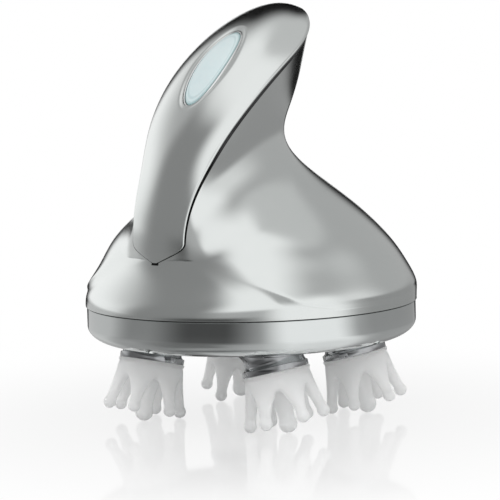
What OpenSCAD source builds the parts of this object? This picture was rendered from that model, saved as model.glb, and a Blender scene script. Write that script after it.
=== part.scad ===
// Cordless electric scalp massager: a round base with four turning brush
// heads under it, and a hooked handle with one oval push button.
// Millimetres, +Z up, the front is -Y, and the origin lies on the floor
// under the centre of the base.

/* [Body] */
// Radius of the upper casing at the joint line
base_r = 54; // [50:1:60]
// Height of the joint line between the two casings
joint_z = 38; // [37.5:0.5:42]
// Height of the handle's top above the joint line
handle_h = 95.6; // [90:1:110]
// Wall of the upper casing, measured level
wall = 2.2; // [1.6:0.1:2.6]
// Step of the lower casing inside the upper one
rim_step = 0.4; // [0.2:0.1:0.8]
// Height of the underside of the base
under_z = 26; // [25.5:0.25:26.5]
// Floor thickness of the lower casing
floor_t = 2; // [1.6:0.1:2.4]
// Wall of the lower casing
low_wall = 2.2; // [1.8:0.1:2.8]
// Thickness of the gasket between the casings
gasket_t = 0.4; // [0.3:0.1:0.6]

/* [Front cover] */
// Thickness of the front cover plate
cover_t = 1.6; // [1.2:0.1:2]
// How far the front cover stands proud of the casing
cover_proud = 0.3; // [0.1:0.1:0.5]
// Gap round and under the front cover
cover_gap = 0.25; // [0.15:0.05:0.35]

/* [Button] */
// Length of the oval push button
button_l = 33; // [30:0.5:34]
// Width of the oval push button
button_w = 11.4; // [10:0.2:12]
// Travel of the push button
button_travel = 0.8; // [0.4:0.1:1]
// Running gap round the push button
button_gap = 0.15; // [0.1:0.05:0.3]
// Wall of the button's bezel
bezel_w = 0.7; // [0.5:0.1:1]
// Depth of the housing behind the button
housing_h = 7; // [6.8:0.1:7.6]

/* [Brush heads] */
// Distance of each head from the middle plane, side to side
head_x = 23.1; // [22:0.1:24]
// Tilt of each head's axis
head_tilt = 14; // [10:1:15]
// Distance along the tilted axis from the shaft to the seat of the brush
seat_d = 11.6; // [11.4:0.1:12]
// Radius of the carrier where it meets the base
carrier_r = 11.2; // [10.5:0.1:11.6]
// Running gap between the carriers and the base
carrier_gap = 0.3; // [0.2:0.05:0.5]
// Radius of the carrier's flange
flange_r = 10.5; // [10:0.25:11]
// Thickness of the carrier's flange
flange_t = 1.9; // [1.5:0.1:2.2]
// Length of the brush from its seat to the centres of the outer tips
finger_l = 15.1; // [14.5:0.1:15.1]
// Radius of the circle of the outer finger tips
tip_ring_r = 11.8; // [11:0.1:12]
// Radius of an outer finger tip
tip_r = 2.1; // [1.8:0.1:2.2]
// Radius of the thick middle finger's tip
mid_tip_r = 3; // [2.6:0.1:3.2]
// Number of thin fingers round the middle one
fingers = 6; // [5:1:7]
// Diameter of the head shafts
shaft_d = 4; // [3:0.1:4.4]
// Running clearance of every shaft in its bore, on the radius
run_gap = 0.04; // [0.02:0.01:0.08]

/* [Gears] */
// Teeth of the middle gear that turns the heads
sun_teeth = 36; // [36:2:38]
// Teeth of each head gear
head_teeth = 26; // [24:1:26]
// Module of the head gears
head_m = 1; // [0.98:0.01:1.02]
// Face width of the head gears
head_gear_w = 5; // [4:0.25:5]
// Teeth of the small gears of the reduction
pinion_teeth = 12; // [12:1:14]
// Teeth of the large gears of the reduction
wheel_teeth = 48; // [44:1:50]
// Module of the reduction
fine_m = 0.5; // [0.46:0.01:0.52]
// Face width of the reduction gears
fine_w = 3; // [2.5:0.1:3]
// Play taken off each tooth flank
flank_play = 0.05; // [0.04:0.01:0.08]

/* [Drive] */
// Diameter of the motor
motor_d = 20.4; // [18:0.2:22]
// Length of the motor's can
motor_l = 27; // [22:1:28]
// Diameter of the rechargeable cell
cell_d = 14; // [13:0.5:14.5]
// Length of the rechargeable cell
cell_l = 35; // [30:1:36]
// Thickness of the gear plate
plate_t = 2; // [1.6:0.1:2.4]
// Radius of the circle of screws that hold the gear plate
plate_screw_r = 36; // [35.5:0.5:38]
// Distance of the casing screws from the outside of the base
case_screw_in = 5.6; // [5.3:0.1:6]
// Diameter of the casing screws
case_screw_d = 2.6; // [2.2:0.1:3]

/* [Hidden] */
$fn = 64;
eps = 0.01;
seat = 0.05;                          // assembly gap between fixed pieces

silver = "silver";
satin = "gainsboro";
dark = "dimgray";

// ---------- The body's surface ----------
// Each station is an outline in its own plane, which runs level at the base
// and fans backwards up the handle. It gives the front point (y, height), the
// back point (y, height), the radius of the round back, the half width of the
// front cover, the radius of the front arc and the half width at the edge
// where that arc meets the flanks. Heights are above the joint line, and
// those of the handle are shares of its height.
hs = handle_h / 95.6;
STATIONS = [
    [-base_r,       0,         base_r,       0,         base_r,       10.5, base_r,       base_r],
    [-base_r,       1,         base_r,       1.2,       base_r,       10.5, base_r,       base_r],
    [-base_r + 0.5, 3.2,       base_r,       4,         base_r,       10.5, base_r,       44],
    [-base_r + 2.2, 6,         base_r - 0.2, 6.8,       base_r - 0.2, 10.5, base_r - 0.2, 34],
    [-base_r + 5.4, 11.5,      base_r - 2.8, 12,        base_r - 3.6, 10.5, base_r - 5,   22.5],
    [-base_r + 7.6, 17 * hs,   base_r - 6.3, 17.5 * hs, base_r - 6.9, 10.5, 44,           14.6],
    [-46.6,         24 * hs,   41.8,         24 * hs,   42.0,         10.5, 34,           11.4],
    [-45.0,         33 * hs,   33.2,         32.6 * hs, 32.4,         11.2, 31,           11.3],
    [-41.6,         43 * hs,   21.8,         41.4 * hs, 20.2,         12.9, 22,           12.9],
    [-36.6,         54 * hs,   13.8,         49.6 * hs, 12.0,         15.8, 26,           15.8],
    [-28.4,         65.4 * hs, 13.8,         57 * hs,   10.0,         19.0, 30.4,         19.0],
    [-16.6,         78 * hs,   18.6,         63.6 * hs, 9.0,          21.0, 32,           21.0],
    [-2.8,          88 * hs,   23.0,         71.8 * hs, 8.0,          21.0, 31,           21.0],
    [8.6,           93.8 * hs, 26.0,         78.6 * hs, 7.0,          16.6, 27,           16.6],
    [16.4,          96.0 * hs, 26.0,         83.8 * hs, 5.2,          10.4, 19,           10.4],
    [20.9,          95.6 * hs, 25.1,         87.4 * hs, 3.0,          5.4,  12,           5.4],
    [23.0,          93.6 * hs, 24.0,         90.2 * hs, 1.6,          2.8,  8,            2.8]];
last_station = len(STATIONS) - 1;

// Value k of the stations at place t, on a smooth curve through them
function curve(a, b, c, d, f) =
    0.5 * (2 * b + (c - a) * f + (2 * a - 5 * b + 4 * c - d) * f * f
           + (3 * b - a - 3 * c + d) * f * f * f);
function at_station(i) = STATIONS[max(0, min(last_station, i))];
function station(t) =
    let (i = min(floor(t), last_station - 1), f = t - i)
    [for (k = [0:7]) curve(at_station(i - 1)[k], at_station(i)[k],
                           at_station(i + 1)[k], at_station(i + 2)[k], f)];
function span(s) = norm([s[2] - s[0], s[3] - s[1]]);
// Depth of the front arc of radius r at x, sunk by d
function arc_v(r, x, d) = r - sqrt(max((r - d) * (r - d) - x * x, 0.01));
// Smaller of two lengths, blended where they differ by less than k
function blend_min(a, b, k) =
    let (h = max(1 - abs(a - b) / k, 0)) min(a, b) - h * h * k / 4;
// Reach of the sides and back at the angle p from the front: a circle with
// the two flat flanks that run from it to the front arc's edges
function flank(s, p, d) =
    let (r = s[4], m = span(s) - r, e = m - arc_v(s[6], s[7], 0),
         q = norm([s[7], e]), open = q > r ? atan2(s[7], e) + acos(r / q) : 0)
    (r - d) / cos(max(0, min(open - p, 80)));
// Reach of the front arc at the same angle, and of its tangents past the edges
function front(s, p, d) =
    let (m = span(s) - s[4], q = m - s[6], r = s[6] - d, x = min(s[7], r - 1),
         v = arc_v(s[6], x, d), k = x / sqrt(r * r - x * x), pe = atan2(x, m - v))
    s[6] > base_r - 0.3 || p < pe ? q * cos(p) + sqrt(max(r * r - pow(q * sin(p), 2), 0))
    : cos(p) + k * sin(p) > 0.05 ? (m - v + k * x) / (cos(p) + k * sin(p)) : 1000;
function reach(s, p, d, k) = blend_min(flank(s, p, d), front(s, p, d), k);
// Point of the outline in space: x, and the depth v behind the front point
function place(s, x, v) =
    let (l = span(s))
    [x, s[0] + (s[2] - s[0]) * v / l, joint_z + s[1] + (s[3] - s[1]) * v / l];
function polar(s, p, r) = place(s, r * sin(p), span(s) - s[4] - r * cos(p));

// The front cover reaches from cover_from to cover_to along the stations
cover_from = 4.95;
cover_to = last_station;
bed_from = cover_from - 0.12;
front_n = 5;                          // steps across half the cover's bed
side_n = 17;                          // steps from there to the back
edge_k = 1.2;                         // rounding of the body's edges
recess = cover_t + cover_gap;         // depth of the cover's bed
// Half width of the cover: a blunt point below, and a round end at the tip
function point_end(f) = blend_min(0.1 + max(0, f), 1, 0.3);
function ease(f) = sqrt(max(0, 1 - pow(1 - max(0, min(1, f)), 4)));
function cover_half(t) =
    station(t)[5] * point_end((t - cover_from) / 0.75)
                  * ease((cover_to - t) / 0.6 + 0.04);

function half_outline(t, d, bed) =
    let (s = station(t), w = max(bed ? cover_half(t) + cover_gap : s[5], 2),
         m = span(s) - s[4], sunk = bed ? recess : 0,
         k = t < 3 ? 0.001 : edge_k,
         p1 = atan2(w, m - arc_v(s[6], w, d + sunk)),
         p2 = max(atan2(w, m - arc_v(s[6], w, d)), p1 + 0.15))
    concat([for (i = [0:front_n]) let (p = p1 * i / front_n)
                polar(s, p, min(flank(s, p, d), front(s, p, d + sunk)))],
           [for (i = [0:side_n]) let (p = p2 + (180 - p2) * i / side_n)
                polar(s, p, reach(s, p, d, k))]);
function outline(t, d, bed) =
    let (h = half_outline(t, d, bed), n = len(h))
    concat(h, [for (i = [n - 2:-1:1]) [-h[i][0], h[i][1], h[i][2]]]);

// Faces of a stack of rings of n points each, open at both ends
function skin_faces(rings, n, start = 0) =
    [for (i = [0:rings - 2], j = [0:n - 1], h = [0:1])
        let (a = start + i * n + j, b = start + i * n + (j + 1) % n)
        h == 0 ? [a, a + n, b] : [b, a + n, b + n]];
function flip(faces) = [for (f = faces) [f[2], f[1], f[0]]];
function fan(ring, n, tip) = [for (j = [0:n - 1]) [ring + j, tip, ring + (j + 1) % n]];

end_t = [for (i = [1:6]) 0.11 * i];     // close steps at the cover's lower end
handle_t = concat([for (t = [5.75:0.5:14.75]) t],
    [15.1, 15.4, 15.6, 15.75, 15.87, 15.96]);
outer_t = concat([for (i = [0:4]) i], [4.3, bed_from - 0.02, bed_from],
    [for (t = end_t) cover_from + t], handle_t, [last_station]);
inner_t = concat([0, 1, 2, 3, 4], [for (t = [4.75:0.75:13.25]) t]);

function bedded(t) = t > bed_from - 0.01;
module shell_skin() {
    n = 2 * (front_n + side_n + 2) - 2;
    rings_out = [for (t = outer_t) outline(t, 0, bedded(t))];
    rings_in = [for (t = inner_t)
        outline(t, wall + (t > 4.4 ? recess : recess * max(0, (t - 3.4))), false)];
    points = concat([for (r = rings_out) each r], [for (r = rings_in) each r],
        [place(station(last_station), 0, span(station(last_station)) * 0.7) + [0, 0.3, -0.2],
         place(station(inner_t[len(inner_t) - 1]), 0, 12)]);
    no = len(rings_out);
    ni = len(rings_in);
    base_in = no * n;
    polyhedron(points, concat(
        skin_faces(no, n), fan((no - 1) * n, n, (no + ni) * n),
        flip(skin_faces(ni, n, base_in)), flip(fan(base_in + (ni - 1) * n, n, (no + ni) * n + 1)),
        [for (j = [0:n - 1], h = [0:1]) let (k = (j + 1) % n)
            h == 0 ? [j, k, base_in + j] : [k, base_in + k, base_in + j]]),
        convexity = 8);
}

// ---------- Places worked out from the sizes ----------
case_screw_r = base_r - case_screw_in;
fit = 0.01;                           // gap between a shaft and a gear fixed to it
head_c = head_m * (sun_teeth + head_teeth) / 2;
head_y = sqrt(head_c * head_c - head_x * head_x);
fine_c = fine_m * (pinion_teeth + wheel_teeth) / 2;
// Each head: side, front or back, and the way its tilted axis points
HEAD_AT = [[1, -1, 5], [-1, -1, 264], [1, 1, 17], [-1, 1, 124]];
pivot_z = (seat_d + finger_l) * cos(head_tilt) + tip_r
          + tip_ring_r * sin(head_tilt) * cos(180 / fingers);
mid_l = (pivot_z - mid_tip_r - 0.04) / cos(head_tilt) - seat_d;
floor_z = under_z + floor_t;
boss_z = floor_z + 4.2;               // top of the bearing bosses
gear_z = boss_z + 0.4;                // underside of the head gears
plate_z = gear_z + head_gear_w + 1.4; // underside of the gear plate
plate_top = plate_z + plate_t;
wheel_z = plate_top + 1.2;            // underside of the sun wheel
upper_z = wheel_z + fine_w + 0.4;     // underside of the idler's large gear
shaft_top = upper_z - 0.2;
deck_z = upper_z + fine_w + 1.4;      // underside of the gearbox cover's deck
deck_t = 2;
deck_top = deck_z + deck_t;
cup_r = fine_c + fine_m * (wheel_teeth / 2 + 1) + 1.2;
cup_wall = 2;
flange_h = 1.6;                       // thickness of the gearbox cover's flange
sun_shaft_d = 5;
pin_d = 2;
motor_shaft_d = 2;
motor_hub_d = 6;
motor_screw_r = 8;
cell_y = -(motor_d / 2 + 0.4 + 1.2 + 0.1 + cell_d / 2);
board_y = motor_d / 2 + 2.6;
board_w = 24;
board_h = 21;
board_t = 1.2;

module at_head(h) {
    translate([HEAD_AT[h][0] * head_x, HEAD_AT[h][1] * head_y, 0]) children();
}
module all_heads() { for (h = [0:3]) at_head(h) children(); }
module four(r, turn = 0) {
    for (a = [0:90:270]) rotate(a + turn) translate([r, 0, 0]) children();
}
module pipe(ro, ri, z0, z1) {
    translate([0, 0, z0]) difference() {
        cylinder(r = ro, h = z1 - z0);
        translate([0, 0, -1]) cylinder(r = ri, h = z1 - z0 + 2);
    }
}
module rod(r, z0, z1) { translate([0, 0, z0]) cylinder(r = r, h = z1 - z0); }

// ---------- Gears ----------
// Involute teeth: each flank's half angle at the radius r is its half angle
// at the pitch circle plus the involute's turn there less that at r.
function involute(a) = tan(a) * 180 / PI - a;
function tooth_half(n, m, pa, r) =
    90 / n - flank_play / (m * n / 2) * 180 / PI + involute(pa)
    - involute(acos(min(1, m * n / 2 * cos(pa) / r)));
function gear_points(n, m, pa) =
    let (rb = m * n / 2 * cos(pa), root = m * (n / 2 - 1.2), tip = m * (n / 2 + 0.95),
         low = max(root + 0.02, rb),
         radii = [root, for (i = [0:4]) low + (tip - low) * i / 4])
    [for (k = [0:n - 1]) each concat(
        [for (r = radii) let (a = 360 * k / n - tooth_half(n, m, pa, r))
            r * [cos(a), sin(a)]],
        [for (i = [len(radii) - 1:-1:0])
            let (r = radii[i], a = 360 * k / n + tooth_half(n, m, pa, r))
            r * [cos(a), sin(a)]])];
// Turn of a gear of n teeth that meshes in the direction d with one of n0
// teeth that stands at the turn t0
function mesh_turn(n, n0, d, t0) = d + 180 - n0 / n * (t0 - d) - 180 / n;
module gear(n, m, z0, w, turn, pa = 25) {
    translate([0, 0, z0]) rotate(turn) linear_extrude(height = w) polygon(gear_points(n, m, pa));
}

// ---------- Push button ----------
// The button lies on the front cover at the place button_t along the stations
button_t = 10.94;
function front_point(t) = let (s = station(t)) [s[0], joint_z + s[1]];
button_p = front_point(button_t);
button_q = front_point(button_t + 0.5) - front_point(button_t - 0.5);
button_tilt = atan2(button_q[1], button_q[0]);
// Radius of the handle's curve there, from the bulge over one station
button_bulge = norm(button_p - (front_point(button_t + 0.5) + front_point(button_t - 0.5)) / 2);
button_curve = norm(button_q) * norm(button_q) / 8 / button_bulge;
button_arc = station(button_t)[6];    // radius of the handle's front across it
bezel_l = button_l / 2 + button_gap + bezel_w;
bezel_a = button_w / 2 + button_gap + bezel_w;
bezel_z = -3.3;                       // underside of the bezel
skirt_in = 0.8;                       // step of the button's skirt
house_wall = 1.2;
house_z = bezel_z - seat - housing_h; // underside of the housing
board2_z = house_z + house_wall + seat;
board2_t = 1;

module at_button() {
    translate([0, button_p[0], button_p[1]]) rotate([button_tilt, 0, 0]) children();
}
module oval(a, b) { polygon([for (i = [0:59]) [a * cos(6 * i), b * sin(6 * i)]]); }
// Oval disc from z0 to z1
module oval_disc(a, b, z0, z1) {
    translate([0, 0, z0]) linear_extrude(height = z1 - z0) oval(a, b);
}
// Ring whose top follows the handle's curve along and across, raised by d
module button_crown(d) {
    translate([0, 0, -button_curve]) rotate([0, 90, 0]) rotate_extrude($fn = 180)
        translate([button_curve - button_arc, 0]) circle(r = button_arc + d, $fn = 120);
}

module upper_shell() {
    boss_h = 6;
    color(silver) difference() {
        union() {
            shell_skin();
            four(case_screw_r) rod(3.6, joint_z + 0.1, joint_z + boss_h);
        }
        four(case_screw_r) rod(case_screw_d / 2 + 0.05, joint_z - 1, joint_z + boss_h - 1);
        at_button() oval_disc(bezel_a + seat, bezel_l + seat, -12, 6);
    }
}

// Rings of the front cover: the outer face from left to right, then the
// inner face back again
cover_n = 8;
cover_bevel = 0.5;
function cover_ring(t) =
    let (s = station(t), w = cover_half(t))
    concat([for (i = [-cover_n:cover_n]) let (x = w * i / cover_n)
                place(s, x, arc_v(s[6], x, 0) - cover_proud)],
           [for (i = [cover_n:-1:-cover_n]) let (x = (w - cover_bevel) * i / cover_n)
                place(s, x, arc_v(s[6], x, cover_t))]);
cover_t_list = concat([cover_from], [for (t = end_t) cover_from + t], handle_t);
module front_cover() {
    n = 4 * cover_n + 2;
    rings = [for (t = cover_t_list) cover_ring(t)];
    last = (len(rings) - 1) * n;
    color(silver) difference() {
        polyhedron([for (r = rings) each r], concat(
            skin_faces(len(rings), n),
            [for (i = [0:2 * cover_n - 1], h = [0:1])
                let (a = i, b = i + 1, c = n - 1 - i, d = n - 2 - i)
                h == 0 ? [a, b, c] : [b, d, c]],
            [for (i = [0:2 * cover_n - 1], h = [0:1])
                let (a = last + i, b = last + i + 1, c = last + n - 1 - i, d = last + n - 2 - i)
                h == 0 ? [a, c, b] : [b, c, d]]), convexity = 6);
        at_button() oval_disc(bezel_a + seat, bezel_l + seat, -12, 6);
    }
}

module button_bezel() {
    color(satin) at_button() intersection() {
        difference() {
            oval_disc(bezel_a, bezel_l, bezel_z, 4);
            oval_disc(bezel_a - bezel_w, bezel_l - bezel_w, bezel_z - 1, 5);
        }
        button_crown(cover_proud + 0.1);
    }
}
button_low = 0.35;                    // how far the button lies below the cover
plunger_z = board2_z + board2_t + 2.65;
module push_button() {
    color("lightcyan") at_button() {
        intersection() {
            oval_disc(button_w / 2, button_l / 2, bezel_z + button_travel + 0.15, 4);
            button_crown(cover_proud - button_low);
        }
        oval_disc(button_w / 2 - skirt_in, button_l / 2 - skirt_in,
                  bezel_z - 1.3, bezel_z + button_travel + 0.15 + eps);
        rod(1.5, plunger_z, bezel_z - 1.3 + eps);
    }
}
module button_seal() {
    color(dark) at_button() difference() {
        oval_disc(bezel_a - house_wall - 0.03, bezel_l - house_wall - 0.03,
                  bezel_z - 1, bezel_z - 0.2);
        oval_disc(button_w / 2 - skirt_in + 0.04, button_l / 2 - skirt_in + 0.04,
                  bezel_z - 2, bezel_z);
    }
}
module button_housing() {
    color("white") at_button() difference() {
        oval_disc(bezel_a, bezel_l, house_z, bezel_z - seat);
        oval_disc(bezel_a - house_wall, bezel_l - house_wall,
                  house_z + house_wall, bezel_z + 1);
    }
}
module button_board() {
    color("seagreen") at_button()
        oval_disc(bezel_a - house_wall - 0.1, bezel_l - house_wall - 0.1,
                  board2_z, board2_z + board2_t);
}
module tact_switch() {
    color("black") at_button() translate([0, 0, board2_z + board2_t]) {
        translate([-2.25, -2.25, 0]) cube([4.5, 4.5, 1.5]);
        rod(1, 1.4, 1.75);
    }
}
module status_leds() {
    color("white") at_button() for (y = [-7, 7])
        translate([-1, y - 0.6, board2_z + board2_t]) cube([2, 1.2, 0.7]);
}

// ---------- Base ----------
low_r = base_r - rim_step;
low_top = joint_z - gasket_t;
corner_w = 9.6;                       // width and height of the round lower edge
corner_h = 5.6;
function corner(r, z, w, h, n) =
    [for (i = [0:n]) let (a = 90 * i / n) [r - w + w * sin(a), z + h - h * cos(a)]];
head_boss_r = 5.6;
bush_r = 3.5;
seal_r = 4.5;
module lower_shell() {
    tube_r = 3.2;
    color(satin) difference() {
        union() {
            rotate_extrude($fn = 128) polygon(concat(
                [[0, under_z]], corner(low_r, under_z, corner_w, corner_h, 12),
                [[low_r, low_top], [low_r - low_wall, low_top]],
                [for (i = [8:-1:0]) corner(low_r - low_wall, floor_z, corner_w,
                                           corner_h, 8)[i]],
                [[0, floor_z]]));
            all_heads() rod(head_boss_r, floor_z - eps, boss_z);
            rod(head_boss_r, floor_z - eps, boss_z);
            four(plate_screw_r) rod(tube_r, floor_z - eps, plate_z);
            intersection() {
                four(case_screw_r) rod(tube_r + 0.3, under_z, low_top);
                rotate_extrude($fn = 128) polygon(concat([[0, under_z]],
                    corner(low_r - 0.1, under_z, corner_w, corner_h, 12),
                    [[low_r - 0.1, low_top], [0, low_top]]));
            }
        }
        all_heads() {
            rod(bush_r + fit, boss_z - 3.1, boss_z + 1);
            rod(shaft_d / 2 + 0.3, under_z - 1, boss_z);
            rod(seal_r + fit, under_z - 1, under_z + 2.3);
        }
        rod(sun_shaft_d / 2 + run_gap, floor_z + 1.2, boss_z + 1);
        four(plate_screw_r) rod(1.25, floor_z + 3, plate_z + 1);
        four(case_screw_r) {
            rod(case_screw_d / 2 + 0.15, under_z - 1, low_top + 1);
            rod(2.6, under_z - 1, under_z + 4);
        }
        for (s = [-1, 1]) translate([0, s * contact_y, 0]) rod(1.5 + fit, under_z - 1, floor_z + 1);
    }
}
module shell_gasket() {
    color("black") pipe(low_r - 0.1, low_r - low_wall + 0.3, low_top, joint_z);
}
module case_screws() {
    color(satin) four(case_screw_r) {
        rod(2.3, under_z + 2.2, under_z + 4);
        rod(case_screw_d / 2, under_z + 4 - eps, joint_z + 4.6);
    }
}
contact_y = 9;
module charge_contacts() {
    color("gold") for (s = [-1, 1]) translate([0, s * contact_y, 0]) {
        rod(1.5, under_z - 0.2, floor_z + 1);
        rod(2, floor_z, floor_z + 0.6);
    }
}
module head_bushes() {
    color("peru") all_heads() pipe(bush_r, shaft_d / 2 + run_gap, boss_z - 3.1, boss_z);
}
module lip_seals() {
    color("black") all_heads() pipe(seal_r, shaft_d / 2 + run_gap, under_z + 0.2, under_z + 2.3);
}

// ---------- Gear train ----------
idler_y = fine_c;
module gear_plate() {
    color("ivory") difference() {
        rod(plate_screw_r + 4, plate_z, plate_top);
        all_heads() rod(shaft_d / 2 + run_gap, plate_z - 1, plate_top + 1);
        rod(sun_shaft_d / 2 + run_gap, plate_z - 1, plate_top + 1);
        translate([0, idler_y, 0]) rod(pin_d / 2 + fit, plate_z - 1, plate_top + 1);
        four(plate_screw_r) rod(1.4, plate_z - 1, plate_top + 1);
    }
}
module gearbox_cover() {
    color("ivory") difference() {
        union() {
            rod(cup_r + cup_wall, plate_top, deck_top);
            rod(plate_screw_r + 4, plate_top, plate_top + flange_h);
            for (s = [-1, 1]) translate([s * (board_w / 2 - 0.5) - 1.5, board_y - 2.2, deck_top - eps])
                cube([3, 4.4 + board_t, 4]);
        }
        rod(cup_r, plate_top - 1, deck_z);
        rod(motor_hub_d / 2 + seat, deck_z - 1, deck_top + 1);
        translate([0, idler_y, 0]) rod(pin_d / 2 + fit, deck_z - 1, deck_z + 1.6);
        four(plate_screw_r) rod(1.4, plate_top - 1, deck_z);
        for (s = [-1, 1]) translate([s * motor_screw_r, 0, 0]) rod(1.1, deck_z - 1, deck_top + 1);
        translate([-board_w / 2 - seat, board_y - seat, deck_top])
            cube([board_w + 2 * seat, board_t + 2 * seat, 5]);
    }
}
module plate_screws() {
    color(satin) four(plate_screw_r) {
        rod(1.2, floor_z + 4, plate_top + flange_h + eps);
        rod(2.2, plate_top + flange_h, plate_top + flange_h + 1.6);
    }
}
module idler_pin() {
    color(satin) translate([0, idler_y, 0]) rod(pin_d / 2, plate_z, deck_z + 1.5);
}
idler_turn = mesh_turn(pinion_teeth, wheel_teeth, 90, 0);
pinion_turn = mesh_turn(pinion_teeth, wheel_teeth, 270, idler_turn);
module idler_gear() {
    color("white") translate([0, idler_y, 0]) difference() {
        union() {
            gear(pinion_teeth, fine_m, wheel_z - 0.3, fine_w + 0.8, idler_turn);
            gear(wheel_teeth, fine_m, upper_z, fine_w, idler_turn);
        }
        rod(pin_d / 2 + run_gap, wheel_z - 1, upper_z + fine_w + 1);
    }
}
module sun_gear() {
    color("wheat") union() {
        gear(sun_teeth, head_m, gear_z, head_gear_w, 0);
        rod(sun_shaft_d / 2, floor_z + 1.4, shaft_top);
    }
}
module sun_wheel() {
    color("white") difference() {
        gear(wheel_teeth, fine_m, wheel_z, fine_w, 0);
        rod(sun_shaft_d / 2 + fit, wheel_z - 1, wheel_z + fine_w + 1);
    }
}
module motor() {
    color(satin) difference() {
        union() {
            rod(motor_d / 2, deck_top + fit, deck_top + motor_l);
            rod(motor_hub_d / 2, deck_z + 0.4, deck_top + 1);
            rod(3, deck_top + motor_l - eps, deck_top + motor_l + 1);
        }
        rod(motor_shaft_d / 2 + run_gap, deck_z - 1, deck_top + 8);
        for (s = [-1, 1]) translate([s * motor_screw_r, 0, 0]) rod(1 + fit, deck_z, deck_top + 3);
    }
}
module motor_shaft() {
    color(satin) rod(motor_shaft_d / 2, upper_z, deck_top + 7);
}
module motor_pinion() {
    color("goldenrod") difference() {
        gear(pinion_teeth, fine_m, upper_z, fine_w + 0.4, pinion_turn);
        rod(motor_shaft_d / 2 + fit, upper_z - 1, upper_z + fine_w + 1);
    }
}
module motor_screws() {
    color(satin) for (s = [-1, 1]) translate([s * motor_screw_r, 0, 0]) {
        rod(1, deck_z - eps, deck_top + 2.4);
        rod(1.9, deck_z - 1.1, deck_z);
    }
}

// ---------- Power and control ----------
cradle_wall = 1.2;
cradle_h = 24;
module battery_cradle() {
    color("ivory") translate([0, cell_y, 0]) difference() {
        rod(cell_d / 2 + 0.1 + cradle_wall, deck_top + fit, deck_top + cradle_h);
        rod(cell_d / 2 + 0.1, deck_top + cradle_wall, deck_top + cradle_h + 1);
    }
}
module battery_cell() {
    z = deck_top + cradle_wall + seat;
    color("royalblue") translate([0, cell_y, 0]) {
        rod(cell_d / 2, z, z + cell_l - 1);
        rod(3, z + cell_l - 1 - eps, z + cell_l);
    }
}
module control_board() {
    color("seagreen") translate([-board_w / 2, board_y, deck_top + fit])
        cube([board_w, board_t, board_h]);
}
module board_parts() {
    color("black") translate([0, board_y + board_t, deck_top]) {
        translate([-4, 0, 8]) cube([8, 1.4, 8]);
        translate([-9.5, 0, 14]) cube([3, 1.2, 4]);
        translate([6, 0, 12]) cube([4, 2.6, 4]);
        translate([6, 0, 6]) cube([3, 1, 2]);
    }
}

// ---------- Brush heads ----------
head_gear_turn = [for (h = [0:3])
    let (d = atan2(HEAD_AT[h][1] * head_y, HEAD_AT[h][0] * head_x))
    mesh_turn(head_teeth, sun_teeth, d, 0)];
bore_z = under_z - carrier_gap - 4.2; // bottom of the shaft's bore in a carrier
web_t = 0.8;                          // web between that bore and the screw's head
recess_r = 6;
recess_h = 1.3;
module tilted(h) {
    at_head(h) rotate(HEAD_AT[h][2]) translate([0, 0, pivot_z])
        rotate([0, -head_tilt, 0]) children();
}
module head_gear(h) {
    color("wheat") at_head(h) difference() {
        gear(head_teeth, head_m, gear_z, head_gear_w, head_gear_turn[h]);
        rod(shaft_d / 2 + fit, gear_z - 1, gear_z + head_gear_w + 1);
    }
}
module head_shaft(h) {
    color(satin) at_head(h) difference() {
        rod(shaft_d / 2, bore_z + 0.1, plate_top - 0.2);
        rod(1 + fit, bore_z - 1, bore_z + 6);
    }
}
module head_screw(h) {
    color(satin) at_head(h) {
        rod(1, bore_z - web_t - eps, bore_z + 5.5);
        rod(1.8, bore_z - web_t - 1.2, bore_z - web_t);
    }
}
module carrier(h) {
    color(silver) difference() {
        union() {
            hull() {
                tilted(h) translate([0, 0, -seat_d + flange_t - 0.7])
                    cylinder(r = flange_r - 0.35, h = 0.3, $fn = 48);
                at_head(h) translate([0, 0, under_z - carrier_gap - 0.3])
                    cylinder(r = carrier_r, h = 0.3, $fn = 48);
            }
            tilted(h) translate([0, 0, -seat_d]) cylinder(r = flange_r, h = flange_t);
        }
        at_head(h) {
            rod(shaft_d / 2 + fit, bore_z, under_z + 1);
            rod(1 + 0.1, bore_z - 3, bore_z + 1);
            rod(2.1, bore_z - 9, bore_z - web_t);
        }
        tilted(h) translate([0, 0, -seat_d - 1]) cylinder(r = recess_r, h = 1 + recess_h);
    }
}
cup_h = 6.2;                          // depth of the brush's cup
lip_r = flange_r + 0.6;
lip_h = 0.5;
root_ring_r = 8.4;                    // circle on which the outer fingers start
stem_r = 1.75;
module finger(r0, r1, z0, z1, root, stem, tip) {
    l = norm([r1 - r0, z1 - z0]);
    translate([r1, 0, z1]) sphere(r = tip, $fn = 32);
    translate([r0, 0, z0]) rotate([0, 180 - atan2(r1 - r0, z0 - z1), 0])
        cylinder(r1 = root, r2 = stem, h = l, $fn = 32);
}
module brush(h) {
    color("whitesmoke") tilted(h) translate([0, 0, -seat_d]) {
        difference() {
            union() {
                translate([0, 0, -lip_h]) cylinder(r1 = flange_r + 0.1, r2 = lip_r, h = lip_h);
                translate([0, 0, -cup_h]) cylinder(r1 = flange_r + 0.3, r2 = flange_r - 0.1, h = cup_h);
                translate([0, 0, -eps]) cylinder(r = recess_r - 0.04, h = recess_h - 0.1);
                for (i = [0:fingers - 1]) rotate(360 * (i + 0.5) / fingers)
                    finger(root_ring_r, tip_ring_r, -cup_h + 1, -finger_l, 2.3, stem_r, tip_r);
                finger(0, 0, -cup_h + 1, -mid_l, 3.4, 2.6, mid_tip_r);
            }
            translate([0, 0, -0.8]) cylinder(r = recess_r - 2.2, h = recess_h + 2);
        }
    }
}

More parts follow.
